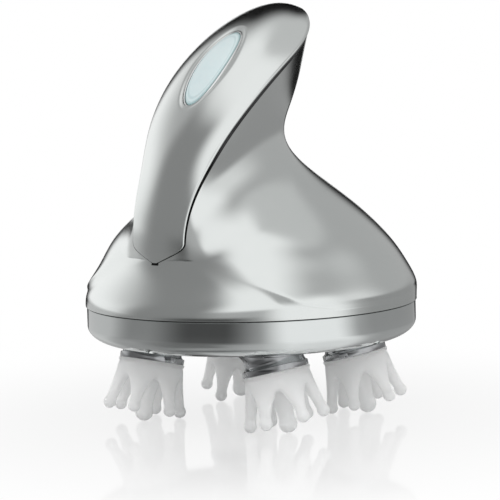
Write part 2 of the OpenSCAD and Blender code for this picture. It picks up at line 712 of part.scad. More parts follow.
upper_shell();
front_cover();
lower_shell();
shell_gasket();
button_bezel();
push_button();
button_housing();
button_seal();
tact_switch();
button_board();
status_leds();
gear_plate();
gearbox_cover();
idler_pin();
motor();
motor_shaft();
motor_pinion();
idler_gear();
sun_gear();
sun_wheel();
battery_cell();
battery_cradle();
control_board();
board_parts();
head_bushes();
lip_seals();
case_screws();
plate_screws();
motor_screws();
charge_contacts();
head_gear(0);  // head_gear_fr
head_shaft(0);  // head_shaft_fr
carrier(0);  // carrier_fr
brush(0);  // brush_fr
head_screw(0);  // head_screw_fr
head_gear(1);  // head_gear_fl
head_shaft(1);  // head_shaft_fl
carrier(1);  // carrier_fl
brush(1);  // brush_fl
head_screw(1);  // head_screw_fl
head_gear(2);  // head_gear_br
head_shaft(2);  // head_shaft_br
carrier(2);  // carrier_br
brush(2);  // brush_br
head_screw(2);  // head_screw_br
head_gear(3);  // head_gear_bl
head_shaft(3);  // head_shaft_bl
carrier(3);  // carrier_bl
brush(3);  // brush_bl
head_screw(3);  // head_screw_bl
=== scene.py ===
"""Looks of a cordless scalp massager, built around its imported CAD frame.

Everything is in metres in the frame of the CAD part: +Z up, the front is -Y,
the origin lies on the floor under the centre of the base.
"""

import math

import bpy
import numpy as np
from mathutils import Matrix, Vector


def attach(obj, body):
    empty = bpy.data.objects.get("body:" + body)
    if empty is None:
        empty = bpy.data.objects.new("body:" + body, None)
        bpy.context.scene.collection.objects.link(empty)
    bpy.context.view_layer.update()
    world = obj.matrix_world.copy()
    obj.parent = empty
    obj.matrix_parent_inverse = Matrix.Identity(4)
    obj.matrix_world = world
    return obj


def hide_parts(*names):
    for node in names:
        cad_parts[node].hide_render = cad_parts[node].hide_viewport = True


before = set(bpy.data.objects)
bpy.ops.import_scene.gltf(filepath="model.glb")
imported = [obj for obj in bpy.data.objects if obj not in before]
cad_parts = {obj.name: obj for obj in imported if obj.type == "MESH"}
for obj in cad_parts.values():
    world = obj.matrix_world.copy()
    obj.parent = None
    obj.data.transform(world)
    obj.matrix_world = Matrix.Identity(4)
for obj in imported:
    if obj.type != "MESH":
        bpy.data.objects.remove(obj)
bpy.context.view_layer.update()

MM = 0.001

# ---------------------------------------------------------------- sizes, mm
JOINT_Z = 38.0           # height of the joint line
WALL = 2.2
RECESS = 1.85            # depth of the bed under the front cover
COVER_T = 1.6
COVER_PROUD = 0.3
COVER_GAP = 0.25
COVER_LIP = 0.5          # thickness the cover thins to at its edges
BED_LIP = 0.75           # and the depth of its bed there
LIP_W = 2.0              # width over which both get thinner
COVER_FROM = 4.95        # station where the front cover starts
BED_FROM = 4.83          # and where its bed does
TIP_FROM = 15.2          # station where the handle's round tip starts
HOLLOW_TO = 13.25        # and where the hollow ends
EDGE_K = 1.2             # rounding where the flanks meet the front
UNDER_Z = 26.0           # flat underside
LOW_R = 53.6             # lower casing
LOW_TOP = 37.6
LOW_FLOOR = 2            # thickness of its floor
CORNER_IN, CORNER_UP = 9.6, 5.6  # its elliptic lower corner
CASE_SCREWS_AT, PLATE_SCREWS_AT = 48.4, 36  # their distances from the middle
CONTACTS_AT = 9
HEAD_X, HEAD_Y = 23.1, 20.6734
HEAD_TILT = 14.0
PIVOT_Z = 30.4791        # where each head's tilted axis crosses its shaft
SEAT_D = 11.6            # from there to the seat of the brush
CARRIER_R = 11.2
CARRIER_TOP = 25.7
FLANGE_R = 10.5
FLANGE_T = 1.9
FINGER_L = 15.1
MID_L = 16.679
TIP_RING_R = 11.8
TIP_R, MID_TIP_R = 2.1, 3.0
CUP_H = 6.2
# each head: its side, front or back, and the way it leans
HEADS = {"fr": (1, -1, 5), "fl": (-1, -1, 264), "br": (1, 1, 17), "bl": (-1, 1, 124)}
HEAD_SPOTS = [(sx * HEAD_X, sy * HEAD_Y) for sx, sy, _ in HEADS.values()]
BUTTON_AT = (-17.3671, 115.311)  # y and height of the button's centre
BUTTON_TILT = 42.1783
BUTTON_CURVE = 75.0      # radius of the handle's bend along the button
BUTTON_ARC = 31.98       # and across it
BUTTON_A, BUTTON_B = 5.7, 16.5
BEZEL_A, BEZEL_B = 6.55, 17.35
DISH_W, DISH_D = 2.2, 0.5  # the shallow dish of the cover round the bezel

# The photograph's camera: degrees to the right of the front, degrees up,
# degrees of roll, metres away, and focal length and picture size in pixels.
CAMERA_AZIMUTH, CAMERA_ELEVATION, CAMERA_ROLL = 39.1, 7.0, -1.46
CAMERA_AWAY = 0.7
FOCAL, PICTURE = 2140, 500

# Stations of the body: front point (y, height above the joint), back point
# (y, height), radius of the back, half width of the cover, radius of the front
# arc, half width where that arc meets the flanks.
STATIONS = np.array([
    [-54.0, 0, 54.0, 0, 54.0, 10.5, 54.0, 54.0],
    [-54.0, 1, 54.0, 1.2, 54.0, 10.5, 54.0, 54.0],
    [-53.5, 3.2, 54.0, 4, 54.0, 10.5, 54.0, 44.0],
    [-51.8, 6, 53.8, 6.8, 53.8, 10.5, 53.8, 34.0],
    [-48.6, 11.5, 51.2, 12, 50.4, 10.5, 49.0, 22.5],
    [-46.4, 17, 47.7, 17.5, 47.1, 10.5, 44.0, 14.6],
    [-46.6, 24, 41.8, 24, 42.0, 10.5, 34.0, 11.4],
    [-45.0, 33, 33.2, 32.6, 32.4, 11.2, 31.0, 11.3],
    [-41.6, 43, 21.8, 41.4, 20.2, 12.9, 22.0, 12.9],
    [-36.6, 54, 13.8, 49.6, 12.0, 15.8, 26.0, 15.8],
    [-28.4, 65.4, 13.8, 57, 10.0, 19.0, 30.4, 19.0],
    [-16.6, 78, 18.6, 63.6, 9.0, 21.0, 32.0, 21.0],
    [-2.8, 88, 23.0, 71.8, 8.0, 21.0, 31.0, 21.0],
    [8.6, 93.8, 26.0, 78.6, 7.0, 16.6, 27.0, 16.6],
    [16.4, 96.0, 26.0, 83.8, 5.2, 10.4, 19.0, 10.4],
    [20.9, 95.6, 25.1, 87.4, 3.0, 5.4, 12.0, 5.4],
    [23.0, 93.6, 24.0, 90.2, 1.6, 2.8, 8.0, 2.8]])
LAST = len(STATIONS) - 1


# ---------------------------------------------------------------- mesh tools
def grid_faces(rows, cols, around=True):
    """Quads between neighbours of a grid of rows by cols points; the columns
    close on themselves when around is true."""
    r, c = np.meshgrid(np.arange(rows - 1), np.arange(cols if around else cols - 1),
                       indexing="ij")
    a, b = r * cols + c, r * cols + (c + 1) % cols
    return np.stack([a, b, b + cols, a + cols], -1).reshape(-1, 4)


def closed_ring_faces(rows, cols):
    """Quads of a grid that closes on itself both ways."""
    r, c = np.meshgrid(np.arange(rows), np.arange(cols), indexing="ij")
    a, b = r * cols + c, r * cols + (c + 1) % cols
    up = ((r + 1) % rows) * cols
    return np.stack([a, b, up + (c + 1) % cols, up + c], -1).reshape(-1, 4)


def cap_faces(first, count, tip, flip=False):
    """Triangles from a ring of count points that starts at first to one tip."""
    j = first + np.arange(count)
    k = first + (np.arange(count) + 1) % count
    f = np.stack([j, k, np.full(count, tip)], -1)
    return f[:, ::-1] if flip else f


def outward(points, faces):
    """The faces, turned round if the volume they close comes out negative."""
    total = 0.0
    for f in faces:
        for k in range(1, f.shape[1] - 1):
            a, b, c = points[f[:, 0]], points[f[:, k]], points[f[:, k + 1]]
            total += np.einsum("ij,ij->i", a, np.cross(b, c)).sum()
    return faces if total > 0 else [f[:, ::-1] for f in faces]


def new_object(name, data):
    """An object of this data, in the scene."""
    obj = bpy.data.objects.new(name, data)
    bpy.context.scene.collection.objects.link(obj)
    return obj


def make_mesh(name, points, *faces, closed=True):
    """A mesh object from points in mm and arrays of triangles or quads."""
    mesh = bpy.data.meshes.new(name)
    points = np.asarray(points, float)
    faces = outward(points - points.mean(0), faces) if closed else faces
    corners = [f for part in faces for f in part.tolist()]
    mesh.from_pydata((points * MM).tolist(), [], corners)
    mesh.validate()
    mesh.update()
    return new_object(name, mesh)


def paint(obj, *mats):
    """The materials in the object's slots, and its faces' choice kept."""
    index = np.zeros(len(obj.data.polygons), np.int32)
    obj.data.polygons.foreach_get("material_index", index)
    obj.data.materials.clear()
    for mat in mats:
        obj.data.materials.append(mat)
    obj.data.polygons.foreach_set("material_index", np.minimum(index, len(mats) - 1))


def smooth(obj, angle=35):
    """Smooth shading, with edges sharper than the angle kept crisp."""
    obj.data.polygons.foreach_set("use_smooth", np.ones(len(obj.data.polygons), bool))
    obj.data.set_sharp_from_angle(angle=math.radians(angle))
    return obj


def settle(obj):
    """The object's modifiers applied, so that its mesh is what is seen."""
    graph = bpy.context.evaluated_depsgraph_get()
    graph.update()
    done = bpy.data.meshes.new_from_object(obj.evaluated_get(graph))
    obj.modifiers.clear()
    old, obj.data = obj.data, done
    bpy.data.meshes.remove(old)
    return obj


def cut(obj, *tools):
    """The object less the tools, which are deleted."""
    for tool in tools:
        m = obj.modifiers.new("cut", "BOOLEAN")
        m.operation, m.solver, m.object = "DIFFERENCE", "EXACT", tool
    settle(obj)
    for tool in tools:
        bpy.data.objects.remove(tool)
    return obj


def merge(name, *objs):
    """The objects as one, under a new name."""
    with bpy.context.temp_override(active_object=objs[0], selected_editable_objects=list(objs)):
        bpy.ops.object.join()
    objs[0].name = objs[0].data.name = name
    return objs[0]


def turned(profile, n):
    """Points of a profile of (radius, height) carried once round Z: at the
    angle a each profile point lies at (r cos a, r sin a, z)."""
    a = np.linspace(0, 2 * np.pi, n, endpoint=False)[None, :, None]
    p = np.asarray(profile, float)[:, None, :]
    return np.concatenate([p[..., :1] * np.cos(a), p[..., :1] * np.sin(a),
                           p[..., 1:] + 0 * a], -1).reshape(-1, 3)


def turned_solid(name, profile, n=64):
    """A closed solid: the profile runs from a point on the axis to another,
    upwards outside, and every ring between them is carried round Z."""
    p = np.asarray(profile, float)
    pts = np.concatenate([turned(p[1:-1], n), [[0, 0, p[0][1]], [0, 0, p[-1][1]]]])
    rows = len(p) - 2
    return make_mesh(name, pts, grid_faces(rows, n),
                     cap_faces(0, n, rows * n, True),
                     cap_faces((rows - 1) * n, n, rows * n + 1))


# ---------------------------------------------------------------- body surface
def evened(table, width):
    """Columns of a close table smoothed with a bell curve of that many rows;
    the ends stay where they are, and what the first pass takes off a bend the
    second gives back."""
    reach = 3 * width
    bell = np.exp(-0.5 * (np.arange(-reach, reach + 1) / width) ** 2)
    def once(rows):
        low = 2 * rows[0] - rows[reach:0:-1]
        high = 2 * rows[-1] - rows[-2:-reach - 2:-1]
        full = np.concatenate([low, rows, high])
        return np.stack([np.convolve(c, bell / bell.sum(), "valid") for c in full.T], 1)
    first = once(table)
    return first + once(table - first)


def close_stations():
    """The stations on Catmull-Rom curves, fifty places to each, evened out so
    that the metal's reflections run without waves."""
    t = np.linspace(0, LAST, 50 * LAST + 1)
    i = np.minimum(np.floor(t), LAST - 1).astype(int)
    f = (t - i)[:, None]
    a, b, c, d = (STATIONS[np.clip(i + k, 0, LAST)] for k in (-1, 0, 1, 2))
    rows = 0.5 * (2 * b + (c - a) * f + (2 * a - 5 * b + 4 * c - d) * f ** 2
                  + (3 * b - a - 3 * c + d) * f ** 3)
    return t, evened(rows, 30)


CLOSE_T, CLOSE = close_stations()


def station(t):
    """Values of the stations at the places t."""
    return np.stack([np.interp(t, CLOSE_T, c) for c in CLOSE.T])[:, :, None]


def arc_depth(r, x, d):
    """Depth of the front arc of radius r at x, sunk by d below its crown."""
    return r - np.sqrt(np.maximum((r - d) ** 2 - x ** 2, 0.01))


def blend_min(a, b, k):
    """The smaller of two lengths, blended where they differ by less than k."""
    h = np.maximum(1 - np.abs(a - b) / k, 0)
    return np.minimum(a, b) - h * h * k / 4


def flank(s, p, d):
    """Reach of the sides and back at the angle p from the front: a circle of
    the back's radius with two flat flanks that run tangent to it from the
    edges of the front arc."""
    r, edge = s[4], s[7]
    m = np.hypot(s[2] - s[0], s[3] - s[1]) - r
    e = m - arc_depth(s[6], edge, 0)
    q = np.hypot(edge, e)
    opening = np.arctan2(edge, e) + np.arccos(np.clip(r / np.maximum(q, 1e-6), -1, 1))
    return (r - d) / np.cos(np.clip(opening - p, 0, math.radians(80)))


def front(s, p, d):
    """Reach of the front arc at the angle p, and past its edges of the
    straight tangents at those edges."""
    m = np.hypot(s[2] - s[0], s[3] - s[1]) - s[4]
    q, r = m - s[6], s[6] - d
    x = np.minimum(s[7], r - 1)
    v = arc_depth(s[6], x, d)
    k = x / np.sqrt(r * r - x * x)
    pe = np.arctan2(x, m - v)
    arc = q * np.cos(p) + np.sqrt(np.maximum(r * r - (q * np.sin(p)) ** 2, 0))
    lean = np.cos(p) + k * np.sin(p)
    line = np.where(lean > 0.05, (m - v + k * x) / np.maximum(lean, 0.05), 1000.0)
    return np.where((s[7] > 50) | (p < pe), arc, line)


def place(s, x, v):
    """The point x across and v behind the front point, in the station's plane."""
    length = np.hypot(s[2] - s[0], s[3] - s[1])
    x, v = np.broadcast_arrays(x, v, length)[:2]
    return np.stack([x, s[0] + (s[2] - s[0]) * v / length,
                     JOINT_Z + s[1] + (s[3] - s[1]) * v / length], -1)


def polar(s, p, r):
    """The point at the angle p and the reach r from the centre of the back."""
    length = np.hypot(s[2] - s[0], s[3] - s[1])
    return place(s, r * np.sin(p), length - s[4] - r * np.cos(p))


def cover_half(t, s):
    """Half width of the front cover: a blunt point below, a round tip above."""
    start = blend_min(0.1 + np.maximum(t - COVER_FROM, 0) / 0.75, 1, 0.3)
    end = np.sqrt(np.maximum(0, 1 - (1 - np.clip((LAST - t) / 0.6 + 0.04, 0, 1)) ** 4))
    return s[5] * (start * end)[:, None]


def thinned(full, lip, share, w):
    """A depth that eases from full to its value at the lip over the last LIP_W
    of the half width w, at the given share of it."""
    near = np.clip(1 - (1 - share) * w / LIP_W, 0, 1)
    return full - (full - lip) * near * near


def casing_rings(t, d, bed, front_n, side_n):
    """Closed outlines of the body at the places t, all sunk by d. Where bed is
    true the part under the cover is sunk by the bed's depth as well. Each has
    front_n points from its middle to the bed's edge and side_n on to the
    middle of its back, on both sides."""
    s = station(t)
    m = np.hypot(s[2] - s[0], s[3] - s[1]) - s[4]
    start = np.clip(t / BED_FROM, 0, 1)[:, None]
    w = cover_half(t, s) + COVER_GAP + s[5] * 0.7 * (1 - start) ** 2
    w = np.maximum(w, 1.3)
    share = np.linspace(0, 1, front_n)[None]
    sunk = np.where(bed[:, None], thinned(RECESS, BED_LIP, share, w), 0)
    k = np.clip((t[:, None] - 3.2) / 1.6, 0, 1)
    k = 0.001 + EDGE_K * k * k * (3 - 2 * k)
    p1 = np.arctan2(w, m - arc_depth(s[6], w, d + sunk[:, -1:]))
    p2 = np.maximum(np.arctan2(w, m - arc_depth(s[6], w, d)), p1 + math.radians(0.1))
    pf = p1 * share
    inner = polar(s, pf, np.minimum(flank(s, pf, d), front(s, pf, d + sunk)))
    ps = p2 + (np.pi - p2) * np.linspace(0, 1, side_n)[None] ** 1.25
    outer = polar(s, ps, blend_min(flank(s, ps, d), front(s, ps, d), k))
    half = np.concatenate([inner, outer], 1)
    back = half[:, -2:0:-1] * [-1, 1, 1]
    return np.concatenate([half, back], 1)


def button_matrix():
    """Frame of the push button: its Z is square to the handle's front."""
    return (Matrix.Translation(Vector((0, *BUTTON_AT)) * MM)
            @ Matrix.Rotation(math.radians(BUTTON_TILT), 4, "X"))


def oval_prism(name, a, b, low, high, n=160):
    """A straight oval bar in the button's frame, from low to high."""
    u = np.linspace(0, 2 * np.pi, n, endpoint=False)
    ring = np.stack([a * np.cos(u), b * np.sin(u)], -1)
    z = np.repeat([low, high], n)[:, None]
    pts = np.concatenate([np.concatenate([np.tile(ring, (2, 1)), z], 1),
                          [[0, 0, low], [0, 0, high]]])
    obj = make_mesh(name, pts, grid_faces(2, n), cap_faces(0, n, 2 * n, True),
                    cap_faces(n, n, 2 * n + 1))
    obj.data.transform(button_matrix())
    return obj


def build_casing():
    """The upper casing: the stack of outlines outside with the cover's bed, a
    second stack a wall further in, and a flat rim that joins them below."""
    thin = 1
    t_out = np.concatenate([
        np.linspace(0, BED_FROM - 0.01, 60 // thin), BED_FROM + np.array([0, 0.02]),
        np.linspace(BED_FROM + 0.06, BED_FROM + 1, 40 // thin),
        np.linspace(BED_FROM + 1.05, TIP_FROM, 190 // thin), np.linspace(15.25, LAST, 24)])
    t_in = np.concatenate([[0, 1, 2, 3, 4], np.linspace(4.4, HOLLOW_TO, 24)])
    fn, sn = 26, 150 // thin
    n = 2 * (fn + sn) - 2
    out = casing_rings(t_out, 0, t_out > BED_FROM - 0.005, fn, sn)
    inner_d = WALL + RECESS * np.clip(t_in - 3.4, 0, 1)[:, None]
    ins = casing_rings(t_in, inner_d, np.zeros(len(t_in), bool), fn, sn)
    tip = place(station([LAST]), np.zeros(1), 2.6)[0, 0] + [0, 0.3, -0.2]
    top = place(station([HOLLOW_TO]), np.zeros(1), 12)[0, 0]
    no, ni = len(t_out), len(t_in)
    pts = np.concatenate([out.reshape(-1, 3), ins.reshape(-1, 3), [tip, top]])
    here, after = np.arange(n), (np.arange(n) + 1) % n
    rim = np.stack([here, here + no * n, after + no * n, after], -1)
    obj = make_mesh("casing_shell", pts, grid_faces(no, n),
                    (grid_faces(ni, n) + no * n)[:, ::-1], rim,
                    cap_faces((no - 1) * n, n, len(pts) - 2),
                    cap_faces((no + ni - 1) * n, n, len(pts) - 1, True))
    # painted shade: the bed is painted black, so that the shaded gap round the cover shows as a
    # fine dark line
    dark = np.zeros(len(obj.data.polygons), np.int32)
    bed = dark[:(no - 1) * n].reshape(no - 1, n)
    under = t_out[:-1] > BED_FROM - 0.015
    bed[np.ix_(under, np.r_[0:fn, n - fn:n])] = 1
    paint(obj, SILVER, SEAL_BLACK_AND_GAP_SHADE)
    obj.data.polygons.foreach_set("material_index", dark)
    return obj


def dished(points):
    """Points of the cover's face, sunk round the bezel: fully at its edge and
    not at all DISH_W further out, with a soft slope between."""
    p, tilt = points / 1.0, math.radians(BUTTON_TILT)
    along = np.array([0, math.cos(tilt), math.sin(tilt)])
    out = np.array([0, -math.sin(tilt), math.cos(tilt)])
    rel = p - [0, *BUTTON_AT]
    x, y = rel[..., 0], rel @ along
    q = np.maximum(np.hypot(x / BEZEL_A, y / BEZEL_B), 1e-6)
    far = np.clip((q - 1) * np.hypot(x, y) / q / DISH_W, 0, 1)
    near = (rel @ out > -12)[..., None]
    return p - (DISH_D * (1 - far * far * (3 - 2 * far)))[..., None] * out * near


def build_cover():
    """The front cover: each station gives an outer arc from edge to edge that
    rolls off with a small radius, and an inner arc a wall below it. Round the
    button the outer face dips a little towards the bezel."""
    thin = 1
    t = np.concatenate([COVER_FROM + np.linspace(0, 0.75, 46 // thin),
                        np.linspace(COVER_FROM + 0.8, 15.1, 300 // thin),
                        np.linspace(15.12, LAST, 40 // thin)])
    s = station(t)
    w = cover_half(t, s)
    roll = 0.4   # radius of the rolled edge
    u = np.linspace(-1, 1, 90 // thin)[None]
    flat = np.maximum(w - roll, 0.05)
    top = dished(place(s, flat * u, arc_depth(s[6], flat * u, 0) - COVER_PROUD))
    a = np.linspace(0, np.pi / 2, 6)[1:][None]
    fall = arc_depth(s[6], w, 0) - arc_depth(s[6], flat, 0)
    right = place(s, flat + (w - flat) * np.sin(a),
                  (arc_depth(s[6], flat, 0) - COVER_PROUD + fall * np.sin(a)
                   + roll * (1 - np.cos(a))))
    inner_u = np.linspace(1, -1, 40)[None]
    thick = thinned(COVER_T, COVER_LIP, np.abs(inner_u), w)
    inner_x = (w - 0.15) * inner_u
    inner = place(s, inner_x, arc_depth(s[6], inner_x, thick))
    left = right[:, ::-1] * [-1, 1, 1]
    rings = np.concatenate([top, right, inner, left], 1)
    rows, n = rings.shape[:2]
    ends = [rings[0].mean(0), rings[-1].mean(0)]
    pts = np.concatenate([rings.reshape(-1, 3), ends])
    return make_mesh("cover_plate", pts, grid_faces(rows, n)[:, ::-1],
                     cap_faces(0, n, rows * n),
                     cap_faces((rows - 1) * n, n, rows * n + 1, True))


def crown(x, y, d):
    """Height above the button's frame of the handle's front, raised by d: a
    ring surface with one radius along the handle and one across it."""
    far = BUTTON_CURVE - BUTTON_ARC + np.sqrt((BUTTON_ARC + d) ** 2 - x ** 2)
    return np.sqrt(far ** 2 - y ** 2) - BUTTON_CURVE


def oval_stack(name, rows, n=180):
    """Closed solid in the button's frame from rows of (a, b, height, d): each
    is an oval of half axes a and b, flat at the height when d is None and
    otherwise lying on the crown raised by d. The last ring closes to a point."""
    u = np.linspace(0, 2 * np.pi, n, endpoint=False)
    rings = []
    for a, b, height, d in rows:
        x, y = a * np.cos(u), b * np.sin(u)
        z = np.full(n, height) if d is None else crown(x, y, d) + height
        rings.append(np.stack([x, y, z], -1))
    pts = np.concatenate(rings)
    ends = [[0, 0, rings[0][:, 2].min()], [0, 0, rings[-1][:, 2].max()]]
    count = len(rings)
    obj = make_mesh(name, np.concatenate([pts, ends]), grid_faces(count, n),
                    cap_faces(0, n, count * n, True),
                    cap_faces((count - 1) * n, n, count * n + 1))
    obj.data.transform(button_matrix())
    return obj


def build_bezel():
    """The bezel: a thin oval wall whose rounded rim follows the crown."""
    wall, low, n = 0.7, -3.3, 200
    u = np.linspace(0, 2 * np.pi, n, endpoint=False)
    arc = np.linspace(0, np.pi, 9)
    inset = wall / 2 * (1 - np.cos(arc))
    lift = -0.28 + 0.28 * np.sin(arc)
    rings = []
    for k, h in [(0, None)] + list(zip(inset, lift)) + [(wall, None)]:
        x, y = (BEZEL_A - k) * np.cos(u), (BEZEL_B - k) * np.sin(u)
        z = np.full(n, low) if h is None else crown(x, y, 0.02) + h
        rings.append(np.stack([x, y, z], -1))
    pts = np.stack(rings, 1)
    obj = make_mesh("button_rim", pts.reshape(-1, 3), closed_ring_faces(n, len(rings)))
    obj.data.transform(button_matrix())
    return obj


def build_lens():
    """The push button: a frosted oval with a rounded edge whose face follows
    the handle's bend, a stepped skirt below it and a plunger."""
    plunger, skirt, edge = 1.5, 0.8, 0.5
    rows = [(plunger, plunger, -5.45, None), (plunger, plunger, -4.6, None),
            (BUTTON_A - skirt, BUTTON_B - skirt, -4.6, None),
            (BUTTON_A - skirt, BUTTON_B - skirt, -2.35, None),
            (BUTTON_A, BUTTON_B, -2.35, None), (BUTTON_A, BUTTON_B, -edge, 0)]
    for a in np.linspace(0, np.pi / 2, 7)[1:]:
        inset = edge * (1 - math.cos(a))
        rows.append((BUTTON_A - inset, BUTTON_B - inset, -edge + edge * math.sin(a), 0))
    for f in np.linspace(0.94, 0.0, 16):
        f = max(f, 0.004)
        rows.append(((BUTTON_A - edge) * f, (BUTTON_B - edge) * f, 0, 0))
    return oval_stack("button_lens", rows)


# ---------------------------------------------------------------- base
def pipe(outer, inner, low, high, n=48):
    """Points and faces of a straight tube."""
    pts = turned([(outer, low), (outer, high), (inner, high), (inner, low)], n)
    return pts, closed_ring_faces(4, n)


def joined(name, parts):
    """One object from several (points, faces) parts."""
    pts, faces, start = [], [], 0
    for p, f in parts:
        pts.append(p)
        faces.append(f + start)
        start += len(p)
    return make_mesh(name, np.concatenate(pts), *faces)


def shift(part, x, y):
    """The part's points moved across, and its faces."""
    return part[0] + [x, y, 0], part[1]


def cross(r):
    """Four places at the distance r from the middle."""
    return [(r, 0), (-r, 0), (0, r), (0, -r)]


def build_lower_casing():
    """The lower casing: a dish turned about Z with an elliptic lower corner,
    bored for the shafts, the seals, the screws and the contacts."""
    def corner(r, z, n):
        return [(r - CORNER_IN + CORNER_IN * math.sin(a),
                 z + CORNER_UP - CORNER_UP * math.cos(a)) for a in np.linspace(0, np.pi / 2, n)]
    under = [(r, UNDER_Z) for r in (0, 2, 8, 16, 24, 32, 40)]
    rim = [(LOW_R, 34.5), (LOW_R, LOW_TOP - 0.15), (LOW_R - 0.15, LOW_TOP),
           (LOW_R - 2.1, LOW_TOP), (LOW_R - WALL, LOW_TOP - 0.1)]
    inner = corner(LOW_R - WALL, UNDER_Z + LOW_FLOOR, 14)[::-1] + [(0, UNDER_Z + LOW_FLOOR)]
    dish = turned_solid("lower_dish", under + corner(LOW_R, UNDER_Z, 30) + rim + inner,
                        320)
    bores = []
    for x, y in HEAD_SPOTS:                                     # shaft, lip seal
        bores += [(x, y, 2.3, 25, 29), (x, y, 4.51, 25, 28.3)]
    for x, y in cross(CASE_SCREWS_AT):                          # screw, its head
        bores += [(x, y, 1.45, 25, 40), (x, y, 2.6, 25, 30)]
    for y in (-CONTACTS_AT, CONTACTS_AT):
        bores.append((0, y, 1.51, 25, 29))
    tools = []
    for i, (x, y, r, low, high) in enumerate(bores):
        tool = turned_solid("bore_%d" % i, [(0, low), (r, low), (r, high), (0, high)], 48)
        tool.data.transform(Matrix.Translation(Vector((x, y, 0)) * MM))
        tools.append(tool)
    cut(dish, *tools)
    bosses = [pipe(5.6, 2.54, 27.9, 32.2)]
    bosses += [shift(pipe(5.6, 3.51, 28.3, 32.2), x, y) for x, y in HEAD_SPOTS]
    bosses += [shift(pipe(3.2, 1.25, 27.9, 39.0), x, y) for x, y in cross(PLATE_SCREWS_AT)]
    bosses += [shift(pipe(3.4, 1.45, 27.9, LOW_TOP - 0.02), x, y)
               for x, y in cross(CASE_SCREWS_AT)]
    return merge("lower_casing", dish, joined("lower_bosses", bosses))


# ---------------------------------------------------------------- heads
def head_matrix(key):
    """Frame on the head's shaft, turned so that X points the way it leans."""
    sx, sy, turn = HEADS[key]
    return (Matrix.Translation(Vector((sx * HEAD_X, sy * HEAD_Y, 0)) * MM)
            @ Matrix.Rotation(math.radians(turn), 4, "Z"))


def leaning():
    """The tilted axis in the head's frame, from the pivot on the shaft."""
    return (Matrix.Translation(Vector((0, 0, PIVOT_Z)) * MM)
            @ Matrix.Rotation(math.radians(-HEAD_TILT), 4, "Y"))


def leaned(points):
    """Points of the tilted frame, in mm, given in the head's frame."""
    m = np.array(leaning())
    return points @ m[:3, :3].T + m[:3, 3] / MM


def build_carrier(key):
    """A carrier: a level disc on the shaft and a tilted flange, joined by a
    skirt that draws in between them by a share of the gap at each angle."""
    n = 192
    a = np.linspace(0, 2 * np.pi, n, endpoint=False)
    def level(r, z):
        return np.stack([r * np.cos(a), r * np.sin(a), np.full(n, z)], -1)
    def tilted(r, z):
        return leaned(np.stack([r * np.cos(a), r * np.sin(a), np.full(n, z - SEAT_D)], -1))
    top = [level(2.02, 21.6), level(2.02, CARRIER_TOP), level(CARRIER_R - 0.15, CARRIER_TOP),
           level(CARRIER_R, CARRIER_TOP - 0.12), level(CARRIER_R, CARRIER_TOP - 0.5),
           level(CARRIER_R - 0.1, CARRIER_TOP - 0.62)]
    start, end = level(CARRIER_R - 0.25, CARRIER_TOP - 0.65), tilted(FLANGE_R - 0.45, FLANGE_T)
    gap = np.linalg.norm(end - start, axis=1, keepdims=True)
    inward = -np.stack([np.cos(a), np.sin(a), 0 * a], -1)
    skirt = []
    for v in np.linspace(0, 1, 20):
        draw = 0.30 * np.maximum(gap - 1.6, 0) * math.sin(math.pi * v) ** 0.7
        skirt.append((1 - v) * start + v * end + inward * draw)
    rim = [tilted(FLANGE_R - 0.2, FLANGE_T), tilted(FLANGE_R - 0.03, FLANGE_T - 0.1),
           tilted(FLANGE_R, FLANGE_T - 0.3), tilted(FLANGE_R, 0.25),
           tilted(FLANGE_R - 0.05, 0.08), tilted(FLANGE_R - 0.2, 0)]
    under = [tilted(6.0, 0), tilted(6.0, 1.3), level(2.1, 20.3) * [1, 1, 0] + [0, 0, 20.7],
             level(1.1, 20.7)]
    rings = top + skirt + rim + under
    pts = np.concatenate(rings)
    obj = make_mesh("carrier_piece_" + key, pts, closed_ring_faces(len(rings), n)[:, ::-1])
    obj.data.transform(head_matrix(key))
    return obj


def build_finger(root_r, end_r, root_z, end_z, wide, deep, stem, ball, n=40, rows=60):
    """Points and faces of a finger in the brush's frame: a bar from the root
    to the centre of its ball, oval at the root and round towards the tip. The
    half widths taper with the square of the share of the length, and the ball
    takes over where it is wider."""
    axis = np.array([end_r - root_r, 0, end_z - root_z], float)
    length = np.linalg.norm(axis)
    z = axis / length
    x = np.array([-z[2], 0, z[0]])
    swing = np.linspace(-np.pi / 2, np.pi / 2, rows)
    s = np.concatenate([np.linspace(0, length - ball, rows // 2),
                        length + ball * np.sin(swing) * 0.9995])
    s = np.unique(np.round(s, 6))
    f = np.clip(s / length, 0, 1)
    taper = (1 - f) ** 2
    round_part = np.sqrt(np.maximum(ball ** 2 - (s - length) ** 2, 0))
    stemmed = np.where(s <= length, 1.0, 0.0)
    half_x = np.maximum((stem + (deep - stem) * taper) * stemmed, round_part)
    half_y = np.maximum((stem + (wide - stem) * taper) * stemmed, round_part)
    a = np.linspace(0, 2 * np.pi, n, endpoint=False)
    ring = (np.array([root_r, 0, root_z]) + s[:, None, None] * z
            + (half_x[:, None] * np.cos(a))[..., None] * x
            + (half_y[:, None] * np.sin(a))[..., None] * [0, 1, 0])
    pts = np.concatenate([ring.reshape(-1, 3), [[root_r, 0, root_z], ring[-1].mean(0)]])
    count = len(s)
    ends = np.concatenate([cap_faces(0, n, count * n, True),
                           cap_faces((count - 1) * n, n, count * n + 1)])
    return pts, grid_faces(count, n), ends


